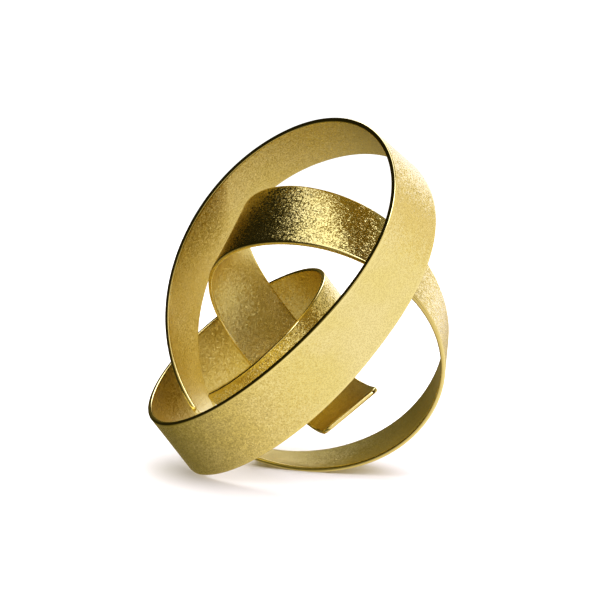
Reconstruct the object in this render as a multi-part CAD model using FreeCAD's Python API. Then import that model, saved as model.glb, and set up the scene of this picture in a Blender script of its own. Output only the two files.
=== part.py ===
import FreeCAD, Part
import math
import os

# Two open bands bent from the same flat strip and looped through each other.
#
# Axes: +Z up, +Y from the front of the object to its back, +X to the right.
# Origin: centre of the bounding box at the height of the table.
#
# A band is flat stock bent along its length without kinks. It is described the way it is bent: station
# after station along the strip, each with a bend radius and a twist. Between two stations the curl (one
# over the radius) and the twist change evenly. Every band starts flat along its own +X with its width
# along its own +Y, curls towards its own -Z, and is then set in place by its Placement.

V = FreeCAD.Vector

# Strip stock, in millimetres.
STRIP = {
    "strip_width": 15.5,
    "strip_gauge": 1.0,
    "corner_radius": 1.8,
    "station_pitch_small": 22.0,
    "station_pitch_large": 24.0,
}

# The two bands. Each station is a bend radius in millimetres and a twist in degrees per millimetre. The
# start is the corner of the free end that the sections are counted from.
BANDS = {
    "large_band": {
        "length": 330.0,
        "pitch": "station_pitch_large",
        "start": (-21.5, 4.0, 11.6),
        "yaw_pitch_roll": (158.3, -49.3, -165.0),
        "stations": [
            (34.5, -0.55), (34.0, -0.55), (44.0, -0.35), (43.0, -0.60), (21.5, -0.15),
            (22.0, 0.05), (80.0, 0.55), (54.0, 0.40), (25.5, 0.70), (39.0, -0.20),
            (23.0, 0.10), (21.0, -0.15), (18.0, 0.55), (21.0, -0.20), (24.0, -1.35),
        ],
    },
    "small_band": {
        "length": 192.0,
        "pitch": "station_pitch_small",
        "start": (6.2, -0.5, 8.7),
        "yaw_pitch_roll": (98.2, 15.7, 142.1),
        "stations": [
            (17.0, -0.25), (19.5, 0.10), (23.5, 0.95), (25.5, 0.95), (31.0, -0.85),
            (28.5, -1.00), (21.5, -0.15), (28.5, 0.45), (38.0, 0.80), (42.0, 0.90),
        ],
    },
}

# Spacing of the sections the faces are drawn through, in millimetres.
SECTION_STEP = 2.0


def write_cell(sheet, row, alias, value):
    sheet.set("A%d" % row, alias)
    sheet.set("B%d" % row, str(value))
    sheet.setAlias("B%d" % row, alias)


def fill_sheet(sheet):
    row = 1
    for alias, value in STRIP.items():
        write_cell(sheet, row, alias, value)
        row += 1
    for label, band in BANDS.items():
        write_cell(sheet, row, label + "_length", band["length"])
        row += 1
        for index, (radius, twist) in enumerate(band["stations"]):
            write_cell(sheet, row, "%s_radius_%02d" % (label, index), radius)
            write_cell(sheet, row + 1, "%s_twist_%02d" % (label, index), twist)
            row += 2


def read_stations(sheet, label):
    """The band's bend table, from the sheet: one (curl, twist) per station, in radians per millimetre."""
    stations = []
    for index in range(len(BANDS[label]["stations"])):
        radius = sheet.get("%s_radius_%02d" % (label, index))
        twist = sheet.get("%s_twist_%02d" % (label, index))
        stations.append((1.0 / radius, math.radians(twist)))
    return stations


def bend_at(stations, pitch, distance):
    """Curl and twist at a distance along the strip, blended evenly between the two nearest stations."""
    index = min(int(distance / pitch), len(stations) - 2)
    part = distance / pitch - index
    before, after = stations[index], stations[index + 1]
    return tuple(a + (b - a) * part for a, b in zip(before, after))


def strip_sections(stations, pitch, length):
    """Walk along one edge of the strip and give its position and direction at every section.

    Local x is the way the strip runs, local y points across its width and local z is its outer face.
    """
    count = int(round(length / SECTION_STEP))
    step = length / count
    position, turn = V(0, 0, 0), FreeCAD.Rotation()
    sections = [(position, turn)]
    for number in range(count):
        curl, twist = bend_at(stations, pitch, (number + 0.5) * step)
        bend = V(twist, curl, 0) * step
        whole = FreeCAD.Rotation(bend, math.degrees(bend.Length))
        half = FreeCAD.Rotation(bend, math.degrees(bend.Length) / 2)
        position = position + (turn * half).multVec(V(step, 0, 0))
        turn = turn * whole
        sections.append((position, turn))
    return sections


def rail(sections, across, out):
    """A smooth edge of the strip: at a distance across its width and out from its middle surface."""
    curve = Part.BSplineCurve()
    curve.interpolate([position + turn.multVec(V(0, across, out)) for position, turn in sections],
                      Parameters=[float(n) for n in range(len(sections))])
    return curve.toShape()


def corner_cutter(place, turn, inward_x, inward_y, corner, gauge):
    """What has to go to round off one corner of a free end: a block less a round bar."""
    block = Part.makeBox(2 * corner, 2 * corner, 4 * gauge, V(-corner, -corner, -2 * gauge))
    bar = Part.makeCylinder(corner, 4 * gauge, V(inward_x * corner, inward_y * corner, -2 * gauge))
    cutter = block.cut(bar)
    cutter.Placement = FreeCAD.Placement(place, turn)
    return cutter


def bent_strip(stations, pitch, length, width, gauge, corner):
    sections = strip_sections(stations, pitch, length)
    near_in = rail(sections, 0, -gauge / 2)
    near_out = rail(sections, 0, gauge / 2)
    far_in = rail(sections, width, -gauge / 2)
    far_out = rail(sections, width, gauge / 2)
    same_way = 1
    faces = [Part.makeRuledSurface(near_in, far_in, same_way),
             Part.makeRuledSurface(near_out, far_out, same_way),
             Part.makeRuledSurface(near_in, near_out, same_way),
             Part.makeRuledSurface(far_in, far_out, same_way)]
    profile = ((0, -gauge / 2), (width, -gauge / 2), (width, gauge / 2), (0, gauge / 2))
    cutters = []
    for (position, turn), inward_x in ((sections[0], 1), (sections[-1], -1)):
        ring = [position + turn.multVec(V(0, across, out)) for across, out in profile]
        faces.append(Part.Face(Part.makePolygon(ring + ring[:1])))
        far_corner = position + turn.multVec(V(0, width, 0))
        cutters.append(corner_cutter(position, turn, inward_x, 1, corner, gauge))
        cutters.append(corner_cutter(far_corner, turn, inward_x, -1, corner, gauge))
    shell = Part.makeShell(faces)
    shell.sewShape()
    solid = Part.makeSolid(shell)
    if solid.Volume < 0:
        solid = Part.makeSolid(shell.reversed())
    return solid.cut(cutters).Solids[0]


def check(doc, names):
    for item in doc.Objects:
        bad = [state for state in item.State if state in ("Invalid", "Error")]
        if bad:
            raise RuntimeError("%s is %s" % (item.Label, bad))
    for name in names:
        shape = doc.getObject(name).Shape
        if shape.isNull() or not shape.isValid() or len(shape.Solids) != 1:
            raise RuntimeError("%s has a bad shape" % name)


doc = FreeCAD.newDocument("linked_bands")
sheet = doc.addObject("Spreadsheet::Sheet", "dimensions")
fill_sheet(sheet)
doc.recompute()

for label, band in BANDS.items():
    piece = doc.addObject("Part::Feature", label)
    piece.Label = label
    piece.Shape = bent_strip(read_stations(sheet, label), sheet.get(band["pitch"]),
                             sheet.get(label + "_length"), sheet.get("strip_width"),
                             sheet.get("strip_gauge"), sheet.get("corner_radius"))
    piece.Placement = FreeCAD.Placement(V(*band["start"]), FreeCAD.Rotation(*band["yaw_pitch_roll"]))

doc.recompute()
check(doc, BANDS)
os.makedirs("parts", exist_ok=True)
for label in BANDS:
    doc.getObject(label).Shape.exportStep("parts/%s.step" % label)
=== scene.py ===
"""Looks of two blasted brass bands, bent from flat strip and looped through each other.

Each band is built again from the strip's own bend table, as a plate with rounded edges and corners, and
stands for the CAD band of the same name. Lengths are millimetres until something is placed in the scene.
"""

import math

import bpy
from mathutils import Euler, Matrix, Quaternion, Vector


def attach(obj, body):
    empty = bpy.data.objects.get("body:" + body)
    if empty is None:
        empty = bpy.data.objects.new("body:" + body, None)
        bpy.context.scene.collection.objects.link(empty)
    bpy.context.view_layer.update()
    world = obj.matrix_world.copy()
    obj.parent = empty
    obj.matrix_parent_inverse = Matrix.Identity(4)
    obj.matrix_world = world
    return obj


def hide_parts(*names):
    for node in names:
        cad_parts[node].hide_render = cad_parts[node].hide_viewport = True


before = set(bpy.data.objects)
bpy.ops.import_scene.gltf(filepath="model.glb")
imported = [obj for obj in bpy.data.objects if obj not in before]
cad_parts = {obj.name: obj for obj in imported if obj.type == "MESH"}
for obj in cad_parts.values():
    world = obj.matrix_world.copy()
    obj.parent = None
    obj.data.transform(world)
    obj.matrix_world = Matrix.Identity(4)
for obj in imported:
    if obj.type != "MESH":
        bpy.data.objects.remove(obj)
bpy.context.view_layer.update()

MM = 0.001

# Strip stock.
WIDTH = 15.5
GAUGE = 1.0
CORNER_RADIUS = 1.8
EDGE_RADIUS = 0.28
WALK_STEP = 2.0

# Mesh density. The columns of a broad face are shares of its half width, closer together near the rim.
SECTION_SPACING = 0.5
CORNER_STEPS = 8
EDGE_STEPS = 3
COLUMNS = (-1.0, -0.95, -0.86, -0.6, -0.3, 0.0, 0.3, 0.6, 0.86, 0.95, 1.0)

# How far in from the rim the handling wear reaches.
WEAR_REACH = 1.1

# Each station is a bend radius and a twist in degrees per millimetre, one every pitch along the strip.
BANDS = {
    "large_band": {
        "body": "large",
        "length": 330.0,
        "pitch": 24.0,
        "start": (-21.5, 4.0, 11.6),
        "yaw_pitch_roll": (158.3, -49.3, -165.0),
        "stations": (
            (34.5, -0.55), (34.0, -0.55), (44.0, -0.35), (43.0, -0.60), (21.5, -0.15),
            (22.0, 0.05), (80.0, 0.55), (54.0, 0.40), (25.5, 0.70), (39.0, -0.20),
            (23.0, 0.10), (21.0, -0.15), (18.0, 0.55), (21.0, -0.20), (24.0, -1.35),
        ),
    },
    "small_band": {
        "body": "small",
        "length": 192.0,
        "pitch": 22.0,
        "start": (6.2, -0.5, 8.7),
        "yaw_pitch_roll": (98.2, 15.7, 142.1),
        "stations": (
            (17.0, -0.25), (19.5, 0.10), (23.5, 0.95), (25.5, 0.95), (31.0, -0.85),
            (28.5, -1.00), (21.5, -0.15), (28.5, 0.45), (38.0, 0.80), (42.0, 0.90),
        ),
    },
}


def bend_at(band, distance):
    """Bend vector per millimetre at a distance along the strip: twist about x, curl about y."""
    stations, pitch = band["stations"], band["pitch"]
    index = min(int(distance / pitch), len(stations) - 2)
    part = distance / pitch - index
    (near_radius, near_twist), (far_radius, far_twist) = stations[index], stations[index + 1]
    curl = (1 - part) / near_radius + part / far_radius
    twist = math.radians((1 - part) * near_twist + part * far_twist)
    return Vector((twist, curl, 0))


def turned(turn, bend, distance):
    """The direction after following a steady bend for a distance."""
    angle = bend.length * distance
    return turn @ Quaternion(bend.normalized(), angle)


def moved(position, turn, bend, distance):
    """The position after following a steady bend for a distance."""
    return position + turned(turn, bend, distance / 2) @ Vector((distance, 0, 0))


def walk_strip(band):
    """Position, direction and bend at the start of each step along the near edge of the strip."""
    yaw, pitch, roll = (math.radians(angle) for angle in band["yaw_pitch_roll"])
    turn = (
        Quaternion((0, 0, 1), yaw)
        @ Quaternion((0, 1, 0), pitch)
        @ Quaternion((1, 0, 0), roll)
    )
    position = Vector(band["start"])
    count = round(band["length"] / WALK_STEP)
    steps = []
    for number in range(count):
        bend = bend_at(band, (number + 0.5) * WALK_STEP)
        steps.append((position, turn, bend))
        position = moved(position, turn, bend, WALK_STEP)
        turn = turned(turn, bend, WALK_STEP)
    return steps


def bent_point(steps, flat):
    """Where a point of the flat strip goes: x along the strip, y across it, z out from its middle."""
    number = min(int(flat.x / WALK_STEP), len(steps) - 1)
    position, turn, bend = steps[number]
    rest = flat.x - number * WALK_STEP
    base = moved(position, turn, bend, rest)
    return base + turned(turn, bend, rest) @ Vector((0, flat.y, flat.z))


def outline(length, inset):
    """(distance along, half width) at each section of the flat strip, its outline moved in by inset."""
    corner = CORNER_RADIUS - inset
    rounded = []
    for number in range(CORNER_STEPS):
        angle = number / CORNER_STEPS * math.pi / 2
        along = CORNER_RADIUS - corner * math.cos(angle)
        half = WIDTH / 2 - CORNER_RADIUS + corner * math.sin(angle)
        rounded.append((along, half))
    straight = length - 2 * CORNER_RADIUS
    count = round(straight / SECTION_SPACING)
    middle = []
    for number in range(count + 1):
        middle.append((CORNER_RADIUS + straight * number / count, WIDTH / 2 - inset))
    return rounded + middle + [(length - along, half) for along, half in reversed(rounded)]


def edge_profile():
    """(inset, height) round the strip's rim, from the inner face to the outer one."""
    flat_half = GAUGE / 2 - EDGE_RADIUS
    upper = []
    for number in range(EDGE_STEPS + 1):
        angle = number / EDGE_STEPS * math.pi / 2
        upper.append((EDGE_RADIUS * (1 - math.cos(angle)), flat_half + EDGE_RADIUS * math.sin(angle)))
    return [(inset, -height) for inset, height in reversed(upper)] + upper


# The sides of a band, in the order of its materials.
OUTER, INNER, RIM = range(3)


class BandMesh:
    """Vertices and faces of one bent plate, gathered in the flat and bent as they are added."""

    def __init__(self, band):
        self.band = band
        self.steps = walk_strip(band)
        self.points = []
        self.borders = []
        self.faces = []
        self.sides = []

    def add_point(self, along, half, share, height):
        flat = Vector((along, WIDTH / 2 + half * share, height))
        self.points.append(bent_point(self.steps, flat) * MM)
        length = self.band["length"]
        to_side = min(flat.y, WIDTH - flat.y)
        to_end = min(along, length - along)
        self.borders.append(min(to_side, to_end) / WEAR_REACH)
        return len(self.points) - 1

    def add_face(self, corners, side):
        self.faces.append(corners)
        self.sides.append(side)

    def grid(self, inset, height):
        """One broad face: an index for every section and column."""
        return [[self.add_point(along, half, share, height) for share in COLUMNS]
                for along, half in outline(self.band["length"], inset)]

    def ring(self, inset, height):
        """One line round the rim, in the order that border() gives for a broad face."""
        sections = outline(self.band["length"], inset)
        places = [(section, COLUMNS[0]) for section in sections]
        places += [(sections[-1], share) for share in COLUMNS[1:]]
        places += [(section, COLUMNS[-1]) for section in reversed(sections[:-1])]
        places += [(sections[0], share) for share in reversed(COLUMNS[1:-1])]
        return [self.add_point(along, half, share, height) for (along, half), share in places]

    def fill_grid(self, grid, side):
        for near, far in zip(grid, grid[1:]):
            for column in range(len(COLUMNS) - 1):
                corners = (near[column], far[column], far[column + 1], near[column + 1])
                self.add_face(corners if side == OUTER else corners[::-1], side)

    def fill_rim(self, rings):
        for lower, upper in zip(rings, rings[1:]):
            count = len(lower)
            for number in range(count):
                after = (number + 1) % count
                self.add_face((lower[number], lower[after], upper[after], upper[number]), RIM)


def border(grid):
    """The indices round a broad face."""
    around = [row[0] for row in grid]
    around += grid[-1][1:]
    around += [row[-1] for row in reversed(grid[:-1])]
    around += list(reversed(grid[0][1:-1]))
    return around


def build_band(name, band, materials):
    """One band as its own object, in place of the CAD band."""
    shape = BandMesh(band)
    profile = edge_profile()
    inner = shape.grid(*profile[0])
    outer = shape.grid(*profile[-1])
    rings = [border(inner)]
    rings += [shape.ring(inset, height) for inset, height in profile[1:-1]]
    rings.append(border(outer))
    shape.fill_grid(inner, INNER)
    shape.fill_grid(outer, OUTER)
    shape.fill_rim(rings)

    mesh = bpy.data.meshes.new(name + "_plate")
    mesh.from_pydata(shape.points, [], shape.faces)
    for material in materials:
        mesh.materials.append(material)
    mesh.polygons.foreach_set("material_index", shape.sides)
    mesh.shade_smooth()
    worn = mesh.attributes.new("border", "FLOAT", "POINT")
    worn.data.foreach_set("value", shape.borders)

    piece = bpy.data.objects.new(name + "_plate", mesh)
    bpy.context.scene.collection.objects.link(piece)
    weighted = piece.modifiers.new("even_normals", "WEIGHTED_NORMAL")
    weighted.keep_sharp = True
    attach(piece, band["body"])
    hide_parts(name)


# ---------------------------------------------------------------- materials

# The brass, where it is deeper in colour, its rim, the pits between the grains and its glancing shine.
BRASS = (0.88, 0.745, 0.29)
BRASS_DEEP = (0.84, 0.70, 0.22)
BRASS_RIM = (0.80, 0.67, 0.26)
PIT = (0.48, 0.37, 0.10)
GRAZING_TINT = (1.0, 0.95, 0.82, 1.0)

# Sizes of the grain, of the specks in it, of the uneven colour and of the scratches on the rim.
GRAIN_CELL = 0.26
FINE_GRAIN = 0.30
STAIN_SIZE = 16.0
RIM_SCRATCH = 0.6
SCRATCH_DEPTH = 0.05

# The two sides of the strip: how far the grains lean, how dark the pits between them are, and the least
# and the most roughness of a grain.
OUTER_FINISH = {"tilt": 0.34, "pitting": 0.40, "gloss": (0.19, 0.28)}
INNER_FINISH = {"tilt": 0.27, "pitting": 0.32, "gloss": (0.30, 0.42)}
RIM_GLOSS = (0.10, 0.22)

# Where each noise, and the way in from the border, turns from one look to the other.
STAIN_EDGES = (0.35, 0.7)
PIT_EDGES = (0.62, 0.38)
SPECK_EDGES = (0.3, 0.7)
HAIR_EDGES = (0.3, 0.75)
WORN_EDGES = (0.1, 1.0)
SMOOTHED_EDGES = (0.0, 1.0)

# What is left of the grain and of the roughness right at the worn border, and how strong the bumps are.
BORDER_GRAIN = 0.25
BORDER_ROUGHNESS = 0.7
GRAIN_BUMP = 0.2
SCRATCH_BUMP = 0.15


class Nodes:
    """Short names for making and joining the nodes of one tree."""

    def __init__(self, tree):
        self.tree = tree
        tree.nodes.clear()

    def add(self, kind, settings=(), inputs=()):
        node = self.tree.nodes.new("ShaderNode" + kind)
        for name, value in dict(settings).items():
            setattr(node, name, value)
        for name, value in dict(inputs).items():
            if isinstance(value, bpy.types.NodeSocket):
                self.tree.links.new(value, node.inputs[name])
            else:
                node.inputs[name].default_value = value
        return node

    def math(self, operation, first, second):
        return self.add("Math", {"operation": operation}, {0: first, 1: second}).outputs["Value"]

    def vector(self, operation, inputs, output="Vector"):
        return self.add("VectorMath", {"operation": operation}, inputs).outputs[output]

    def ramp(self, value, start, end, low=0.0, high=1.0):
        """A smooth step of value from low to high between start and end."""
        return self.add("MapRange", {"interpolation_type": "SMOOTHSTEP"},
                        {"Value": value, "From Min": start, "From Max": end,
                         "To Min": low, "To Max": high}).outputs["Result"]

    def blend(self, factor, first, second):
        """The first number where the factor is 0, and the second where it is 1."""
        rest = self.math("SUBTRACT", 1.0, factor)
        return self.math("ADD", self.math("MULTIPLY", factor, second), self.math("MULTIPLY", rest, first))

    def mix(self, factor, first, second):
        """A blend of two colours."""
        node = self.add("Mix", {"data_type": "RGBA"}, {"Factor": factor})
        for name, value in (("A_Color", first), ("B_Color", second)):
            socket = next(s for s in node.inputs if s.identifier == name)
            if isinstance(value, bpy.types.NodeSocket):
                self.tree.links.new(value, socket)
            else:
                socket.default_value = (*value, 1.0)
        return next(s for s in node.outputs if s.identifier == "Result_Color")


def per_metre(size):
    """Texture scale that gives features of a size in millimetres."""
    return 1 / (size * MM)


def new_material(name):
    material = bpy.data.materials.new(name)
    material.use_nodes = True
    return material, Nodes(material.node_tree)


def grain_normal(nodes, place, strength):
    """The surface normal tipped a little differently in every grain of the blasted finish."""
    cells = nodes.add("TexVoronoi", inputs={"Vector": place, "Scale": per_metre(GRAIN_CELL)})
    centred = nodes.vector("SUBTRACT", {0: cells.outputs["Color"], 1: (0.5, 0.5, 0.5)})
    tilt = nodes.vector("SCALE", {0: centred, "Scale": strength})
    normal = nodes.add("NewGeometry").outputs["Normal"]
    return nodes.vector("NORMALIZE", {0: nodes.vector("ADD", {0: normal, 1: tilt})})


def metal(nodes, colour, roughness, bump):
    """Ends a material as bare metal."""
    shader = nodes.add("BsdfPrincipled", inputs={"Base Color": colour, "Metallic": 1.0,
                                                 "Specular Tint": GRAZING_TINT, "Roughness": roughness,
                                                 "Normal": bump.outputs["Normal"]})
    nodes.add("OutputMaterial", inputs={"Surface": shader.outputs["BSDF"]})


def blasted_face(name, tilt, pitting, gloss):
    """Blasted brass: fine glittering grain, slightly uneven colour, smoother towards the worn border."""
    material, nodes = new_material(name)
    place = nodes.add("TexCoord").outputs["Object"]
    stain = nodes.add("TexNoise", inputs={"Vector": place, "Scale": per_metre(STAIN_SIZE),
                                          "Detail": 4.0, "Roughness": 0.6}).outputs["Fac"]
    speck = nodes.add("TexNoise", inputs={"Vector": place, "Scale": per_metre(FINE_GRAIN),
                                          "Detail": 2.0}).outputs["Fac"]
    inward = nodes.add("Attribute", {"attribute_name": "border"}).outputs["Fac"]
    blasted = nodes.ramp(inward, *WORN_EDGES, BORDER_GRAIN, 1.0)

    brass = nodes.mix(nodes.ramp(stain, *STAIN_EDGES), BRASS, BRASS_DEEP)
    depth = nodes.math("MULTIPLY", blasted, pitting)
    pits = nodes.math("MULTIPLY", nodes.ramp(speck, *PIT_EDGES), depth)
    colour = nodes.mix(pits, brass, PIT)
    grain_roughness = nodes.ramp(speck, *SPECK_EDGES, *gloss)
    roughness = nodes.math("MULTIPLY", grain_roughness,
                           nodes.ramp(inward, *SMOOTHED_EDGES, BORDER_ROUGHNESS, 1.0))
    tipped = grain_normal(nodes, place, nodes.math("MULTIPLY", blasted, tilt))
    bump = nodes.add("Bump", inputs={"Strength": GRAIN_BUMP, "Distance": FINE_GRAIN * MM,
                                     "Height": speck, "Normal": tipped})
    metal(nodes, colour, roughness, bump)
    return material


def polished_rim(name):
    """The tumbled rim of the strip: nearly a mirror, with faint hairlines."""
    material, nodes = new_material(name)
    place = nodes.add("TexCoord").outputs["Object"]
    hair = nodes.add("TexNoise", inputs={"Vector": place, "Scale": per_metre(RIM_SCRATCH),
                                         "Detail": 3.0}).outputs["Fac"]
    roughness = nodes.ramp(hair, *HAIR_EDGES, *RIM_GLOSS)
    bump = nodes.add("Bump", inputs={"Strength": SCRATCH_BUMP, "Distance": SCRATCH_DEPTH * MM,
                                     "Height": hair})
    metal(nodes, (*BRASS_RIM, 1.0), roughness, bump)
    return material


# ---------------------------------------------------------------- studio

# The floor's side is in metres. Its paper is seen, but the metal reflects the sky's lower half instead.
FLOOR_SIZE = 6.0
FLOOR_PAPER = (0.76, 0.72, 0.67, 1.0)

# Ways are directions from the object: x to the right, y to the back and z up. The edges of a light are how
# much a direction has to point its way, from -1 to 1, for it to begin and to be full.
# Each soft light: the way to it, its core and reach in degrees from there, and its strength.
SOFT_BOXES = (
    ((0.08, 0.0, 1.0), 8, 32, 1.55),
    ((0.33, 0.91, 0.25), 8, 24, 0.65),
    ((-0.10, 0.98, 0.17), 12, 32, 0.12),
    ((0.12, 0.62, 0.77), 8, 22, 3.6),
    ((0.36, -0.60, 0.72), 12, 25, 4.0),
)

# What is left where no light is.
DARK_ROOM = 0.02

# The bright wall on the right, which fades out upwards between two heights in degrees.
WALL_WAY = (0.94, -0.34, 0.0)
WALL_EDGES = (-0.35, 0.15)
WALL_LIGHT = 0.82
WALL_FULL = 18
WALL_END = 42
ABOVE_WALL = 0.15

# The floor as the metal reflects it, with a shade at the front left between two depths in degrees.
FLOOR_SLOPE = (0.60, -0.35, 0.0)
FLOOR_MIDDLE = 0.72
FLOOR_BRIGHTEST = 1.0
SHADE_WAY = (-0.5, -0.87, 0.0)
SHADE_EDGES = (0.3, 0.8)
SHADE_DEPTH = 0.8
SHADE_FULL = 20
SHADE_END = 55
HORIZON_EDGES = (0.02, -0.12)

# The dome that lights the floor, and the tint of dim, lit and brightest parts of the room.
DOME_BASE = 1.4
DOME_TOP = 0.7
SHADOW_LIGHT = (1.0, 0.90, 0.36)
WARM_LIGHT = (1.0, 0.915, 0.85)
COOL_LIGHT = (0.94, 0.98, 1.38)
WARM_LEVELS = (0.08, 0.48)
COOL_LEVELS = (0.80, 1.15)
WHITE = (1.0, 1.0, 1.0)

# The camera, in millimetres and degrees.
LENS = 72.0
SENSOR_WIDTH = 36.0
CAMERA_PLACE = (0.61, -255.32, 57.92)
LOOKING_DOWN = 4.65
LEANING = 0.67


def sine(degrees):
    return math.sin(math.radians(degrees))


def cosine(degrees):
    return math.cos(math.radians(degrees))


def toward(nodes, way, direction):
    """How much a way points in a direction."""
    return nodes.vector("DOT_PRODUCT", {0: way, 1: Vector(direction)}, "Value")


def build_floor():
    half = FLOOR_SIZE / 2
    square = [(-half, -half, 0), (half, -half, 0), (half, half, 0), (-half, half, 0)]
    mesh = bpy.data.meshes.new("floor")
    mesh.from_pydata(square, [], [(0, 1, 2, 3)])
    floor = bpy.data.objects.new("floor", mesh)
    bpy.context.scene.collection.objects.link(floor)
    material, nodes = new_material("floor_paper")
    paper = nodes.add("BsdfDiffuse", inputs={"Color": FLOOR_PAPER})
    nodes.add("OutputMaterial", inputs={"Surface": paper.outputs["BSDF"]})
    mesh.materials.append(material)
    floor.visible_glossy = False


def upper_light(nodes, way, up):
    """The room above the horizon: a bright wall on the right, the soft lights, and dark elsewhere."""
    wall = nodes.ramp(toward(nodes, way, WALL_WAY), *WALL_EDGES, 0.0, WALL_LIGHT)
    wall_top = nodes.ramp(up, sine(WALL_END), sine(WALL_FULL), ABOVE_WALL, 1.0)
    light = nodes.math("ADD", nodes.math("MULTIPLY", wall, wall_top), DARK_ROOM)
    for direction, core, reach, strength in SOFT_BOXES:
        nearness = toward(nodes, way, Vector(direction).normalized())
        glow = nodes.ramp(nearness, cosine(reach), cosine(core), 0.0, strength)
        light = nodes.math("ADD", light, glow)
    return light


def lower_light(nodes, way, up):
    """The floor as the metal reflects it: brighter to the right and shaded at the front left."""
    slope = toward(nodes, way, FLOOR_SLOPE)
    light = nodes.math("MINIMUM", nodes.math("ADD", slope, FLOOR_MIDDLE), FLOOR_BRIGHTEST)
    frontness = nodes.ramp(toward(nodes, way, SHADE_WAY), *SHADE_EDGES)
    depth = nodes.ramp(up, -sine(SHADE_END), -sine(SHADE_FULL), 0.0, SHADE_DEPTH)
    shade = nodes.math("SUBTRACT", 1.0, nodes.math("MULTIPLY", frontness, depth))
    return nodes.math("MULTIPLY", light, shade)


def build_world():
    """The studio as a sky. The camera sees it plain white, and a soft dome lights the floor."""
    world = bpy.data.worlds.new("studio")
    world.use_nodes = True
    nodes = Nodes(world.node_tree)
    bpy.context.scene.world = world
    way = nodes.add("TexCoord").outputs["Generated"]
    up = nodes.add("SeparateXYZ", inputs={"Vector": way}).outputs["Z"]

    below = nodes.ramp(up, *HORIZON_EDGES)
    room = nodes.blend(below, upper_light(nodes, way, up), lower_light(nodes, way, up))
    tint = nodes.mix(nodes.ramp(room, *WARM_LEVELS), SHADOW_LIGHT, WARM_LIGHT)
    tint = nodes.mix(nodes.ramp(room, *COOL_LEVELS), tint, COOL_LIGHT)

    path = nodes.add("LightPath")
    to_floor = path.outputs["Is Diffuse Ray"]
    seen = path.outputs["Is Camera Ray"]
    dome = nodes.math("ADD", nodes.math("MULTIPLY", up, DOME_TOP), DOME_BASE)
    strength = nodes.math("MAXIMUM", nodes.blend(to_floor, room, dome), seen)
    colour = nodes.mix(nodes.math("MAXIMUM", seen, to_floor), tint, WHITE)
    light = nodes.add("Background", inputs={"Strength": strength, "Color": colour})
    nodes.add("OutputWorld", inputs={"Surface": light.outputs["Background"]})


def build_camera():
    """A long lens at the front, a little above the object and looking slightly down."""
    data = bpy.data.cameras.new("camera")
    data.lens = LENS
    data.sensor_width = SENSOR_WIDTH
    camera = bpy.data.objects.new("camera", data)
    camera.location = Vector(CAMERA_PLACE) * MM
    tipped = Euler((math.radians(90 - LOOKING_DOWN), 0, 0)).to_matrix()
    leaned = Euler((0, 0, math.radians(LEANING))).to_matrix()
    camera.rotation_euler = (tipped @ leaned).to_euler()
    bpy.context.scene.collection.objects.link(camera)
    bpy.context.scene.camera = camera


def corners(box):
    return [list(corner) for corner in box]


for label, band in BANDS.items():
    outer = blasted_face(label + "_outer", **OUTER_FINISH)
    inner = blasted_face(label + "_inner", **INNER_FINISH)
    build_band(label, band, (outer, inner, polished_rim(label + "_rim")))
build_floor()
build_world()
build_camera()
bpy.context.scene.view_settings.view_transform = "Standard"
bpy.context.scene.view_settings.look = "Medium High Contrast"
